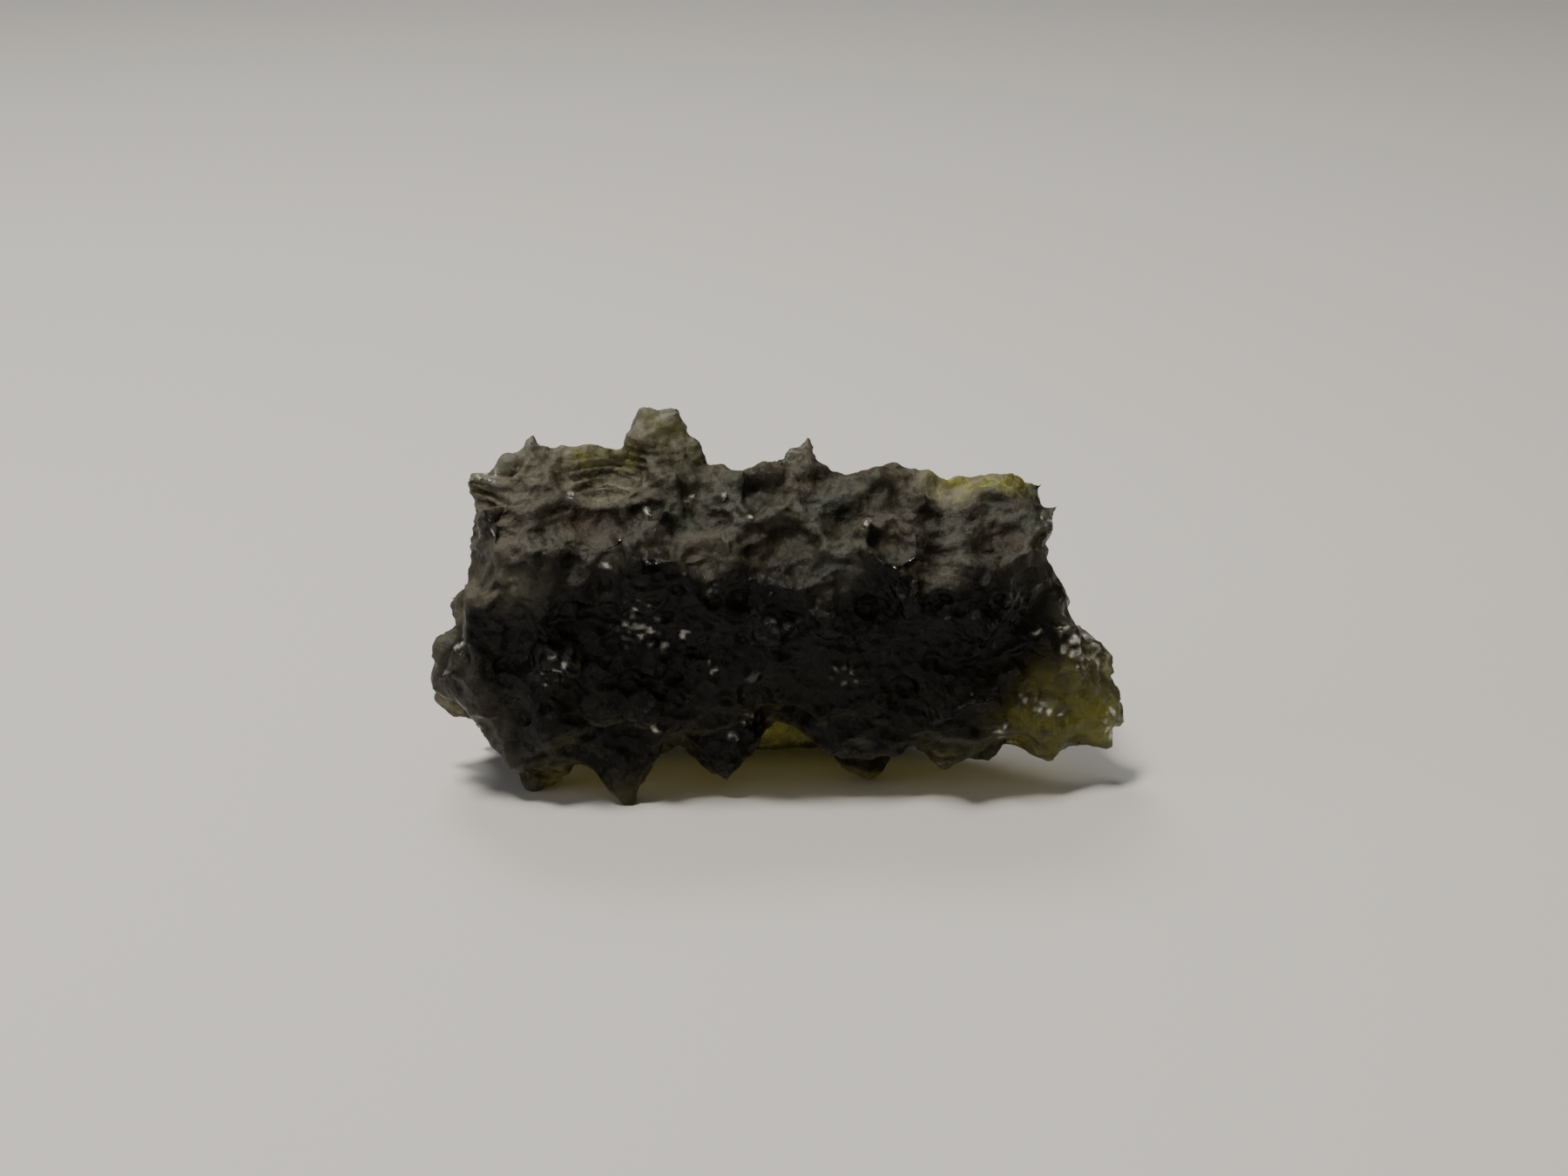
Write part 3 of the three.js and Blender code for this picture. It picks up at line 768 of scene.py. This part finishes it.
def etched_green_glass():
    """Moldavite: a natural silica-rich glass, etched matte by acid ground water.
    Thick, it is near black; thin crests and horns let olive-green light through.
    A grey-brown bloom dulls the upper side and is painted lighter where the light falls on it;
    the clean lower side glints, and painted glints sit on small chips."""
    material, tree = new_material("etched_green_glass")
    coords = add_node(tree, "ShaderNodeTexCoord")
    in_mm = add_node(
        tree, "ShaderNodeMapping", inputs={"Vector": coords.outputs["Object"], "Scale": (1 / MM,) * 3}
    )
    place = in_mm.outputs["Vector"]
    bloom_and_painted_light = coat_share(tree, "bloom_and_painted_light")
    painted_glint = coat_share(tree, "painted_glint")
    olive = coat_share(tree, "olive")

    # Flow layers, in the layered bowls.
    layers = add_node(
        tree, "ShaderNodeTexWave",
        {"wave_type": "BANDS", "bands_direction": "Z", "wave_profile": "SAW"},
        {
            "Vector": place,
            "Scale": LAYERS_SCALE,
            "Distortion": LAYERS_BENT,
            "Detail": LAYERS_DETAIL,
            "Detail Scale": LAYERS_DETAIL_SCALE,
        },
    )
    layer_height = worked_out(tree, "MULTIPLY", layers.outputs["Fac"], coat_share(tree, "layered"))
    grain = noise_pattern(tree, place, *GRAINS)

    # The skin's colour: bloom, paler in places and partly painted light, over the clean skin, with
    # painted shade along each ledge's step, and dirt and painted shade in the pits of the grain.
    # Clear and olive places show the glass, and the chips are painted white as glints.
    bloomed = mixed(tree, "RGBA", coat_share(tree, "pale_and_lit"), stain_colours(tree, place), linear(PALE_AND_LIT_BLOOM))
    skin = mixed(tree, "RGBA", bloom_and_painted_light, linear(CLEAN_SKIN), bloomed)
    pit_shade_and_dirt = mapped(tree, grain, DARKENED_PITS, (PIT_SHADE_AND_DIRT, 0.0))
    shade_and_dirt = worked_out(tree, "MULTIPLY_ADD", layer_height, LEDGE_SHADE, pit_shade_and_dirt, clamped=True)
    shaded_and_dirty = mixed(tree, "RGBA", shade_and_dirt, skin, linear(SHADE_AND_DIRT))
    cleared = mixed(tree, "RGBA", coat_share(tree, "clear"), shaded_and_dirty, linear(CLEAR_GLASS))
    greener = mixed(tree, "RGBA", olive, cleared, linear(OLIVE_GLASS))
    # Painted glints: white on the chips.
    colour = mixed(tree, "RGBA", painted_glint, greener, linear(PAINTED_GLINT_WHITE))

    # Gloss: the bloom is matte, and the clean glass is satin with small shiny spots.
    spots = noise_pattern(tree, place, *GLOSS_SPOTS)
    clean_roughness = mapped(tree, spots, SPOT_EDGE, (SATIN_ROUGHNESS, SHINY_ROUGHNESS))
    skin_roughness = mixed(tree, "FLOAT", bloom_and_painted_light, clean_roughness, BLOOM_ROUGHNESS)
    roughness = mixed(tree, "FLOAT", painted_glint, skin_roughness, PAINTED_GLINT_ROUGHNESS)

    # Fine relief: the flow layers, pits in the clean glass, and the grain of the etching.
    pits = add_node(
        tree, "ShaderNodeTexVoronoi", inputs={"Vector": place, "Scale": PITS_PER_MM, "Randomness": 1.0}
    )
    clean = worked_out(tree, "SUBTRACT", 1.0, bloom_and_painted_light, clamped=True)
    pit_height = worked_out(tree, "MULTIPLY", pits.outputs["Distance"], clean)
    layered = bumped(tree, layer_height, *LAYER_BUMP)
    pitted = bumped(tree, pit_height, *PIT_BUMP, layered)
    relief = bumped(tree, grain, *GRAIN_BUMP, pitted)

    # The bloom is a crust that stops most of the light, and olive places and the painted glints stop some.
    see_through = mapped(tree, bloom_and_painted_light, (0.0, 1.0), (CLEAN_TRANSMISSION, BLOOM_TRANSMISSION))
    see_through = worked_out(tree, "MULTIPLY_ADD", olive, OLIVE_STOPS, see_through, clamped=True)
    see_through = worked_out(tree, "MULTIPLY_ADD", painted_glint, PAINTED_GLINT_STOPS, see_through, clamped=True)

    glass = add_node(
        tree, "ShaderNodeBsdfPrincipled",
        inputs={
            "Base Color": colour,
            "Roughness": roughness,
            "IOR": GLASS_IOR,
            "Specular Tint": (GLINT, GLINT, GLINT, 1.0),
            "Transmission Weight": see_through,
            "Normal": relief,
        },
    )
    inside = add_node(
        tree, "ShaderNodeVolumeAbsorption",
        inputs={"Color": linear(LIGHT_THROUGH_GLASS), "Density": GLASS_DENSITY},
    )
    output = add_node(tree, "ShaderNodeOutputMaterial")
    tree.links.new(glass.outputs["BSDF"], output.inputs["Surface"])
    tree.links.new(inside.outputs["Volume"], output.inputs["Volume"])
    return material


def stone(node):
    piece = copy_of_solid(node, "etched_stone")
    etch(piece)
    thin_out(piece, SKIN_TRIANGLES)
    keep_in_box(piece.data, *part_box("moldavite"))
    coat(piece.data)
    select_only(piece)
    bpy.ops.object.shade_smooth()
    piece.data.materials.append(etched_green_glass())
    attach(piece, "root")
    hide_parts("moldavite")


# ---- Surroundings ----

def pale_floor():
    """Smooth matt paper, almost white, that takes the stone's soft shadow."""
    material, tree = new_material("white_paper")
    paper = add_node(
        tree, "ShaderNodeBsdfPrincipled", inputs={"Base Color": linear(PAPER), "Roughness": PAPER_ROUGHNESS}
    )
    output = add_node(tree, "ShaderNodeOutputMaterial")
    tree.links.new(paper.outputs["BSDF"], output.inputs["Surface"])
    bpy.ops.object.select_all(action="DESELECT")
    bpy.ops.mesh.primitive_circle_add(
        vertices=FLOOR_CORNERS, radius=FLOOR_RADIUS, fill_type="NGON", location=(0, 0, 0)
    )
    floor = bpy.context.object
    floor.name = "floor"
    floor.data.materials.append(material)


def area_light(name, place_mm, size_mm, power, colour, aim_mm=STONE_MIDDLE):
    """A soft light that shines on the stone, or on where it is aimed."""
    data = bpy.data.lights.new(name, "AREA")
    data.shape = "RECTANGLE"
    data.size, data.size_y = (side * MM for side in size_mm)
    data.energy = power
    data.color = linear(colour)[:3]
    light = bpy.data.objects.new(name, data)
    light.location = Vector(place_mm) * MM
    towards = Vector(aim_mm) * MM - light.location
    light.rotation_euler = towards.to_track_quat("-Z", "Y").to_euler()
    bpy.context.collection.objects.link(light)


def pale_room():
    """Soft light from all round, brightest overhead and dim near the floor."""
    world = bpy.data.worlds.new("pale_room")
    world.use_nodes = True
    tree = world.node_tree
    tree.nodes.clear()
    coords = add_node(tree, "ShaderNodeTexCoord")
    direction = add_node(tree, "ShaderNodeSeparateXYZ", inputs={"Vector": coords.outputs["Generated"]})
    strength = mapped(tree, direction.outputs["Z"], (0.0, OVERHEAD_FROM), (ROOM_AT_FLOOR, ROOM_OVERHEAD))
    background = add_node(tree, "ShaderNodeBackground", inputs={"Color": linear(ROOM), "Strength": strength})
    output = add_node(tree, "ShaderNodeOutputWorld")
    tree.links.new(background.outputs["Background"], output.inputs["Surface"])
    bpy.context.scene.world = world


def studio():
    for soft_light in SOFT_LIGHTS:
        area_light(*soft_light)
    area_light("olive_glow", GLOW_PLACE, GLOW_SIZE, GLOW_POWER, GLOW_COLOUR, GLOW_AIM)
    pale_room()


def camera():
    data = bpy.data.cameras.new("camera")
    data.lens = LENS_MM
    data.sensor_fit = "HORIZONTAL"
    data.sensor_width = SENSOR_MM
    data.clip_start = NEAREST_SEEN
    data.clip_end = FARTHEST_SEEN
    seen_from = Vector((0, -math.cos(CAMERA_ELEVATION), math.sin(CAMERA_ELEVATION)))
    eye = bpy.data.objects.new("camera", data)
    eye.location = CAMERA_AIM + seen_from * CAMERA_DISTANCE
    eye.rotation_euler = (-seen_from).to_track_quat("-Z", "Y").to_euler()
    bpy.context.collection.objects.link(eye)
    bpy.context.scene.camera = eye


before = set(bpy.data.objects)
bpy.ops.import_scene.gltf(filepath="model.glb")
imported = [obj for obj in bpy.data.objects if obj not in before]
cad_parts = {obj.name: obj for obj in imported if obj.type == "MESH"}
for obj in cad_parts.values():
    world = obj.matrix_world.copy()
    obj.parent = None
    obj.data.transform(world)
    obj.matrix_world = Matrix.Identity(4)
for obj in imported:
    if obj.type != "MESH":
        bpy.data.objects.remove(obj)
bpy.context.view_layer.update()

stone(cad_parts["moldavite"])
pale_floor()
studio()
camera()
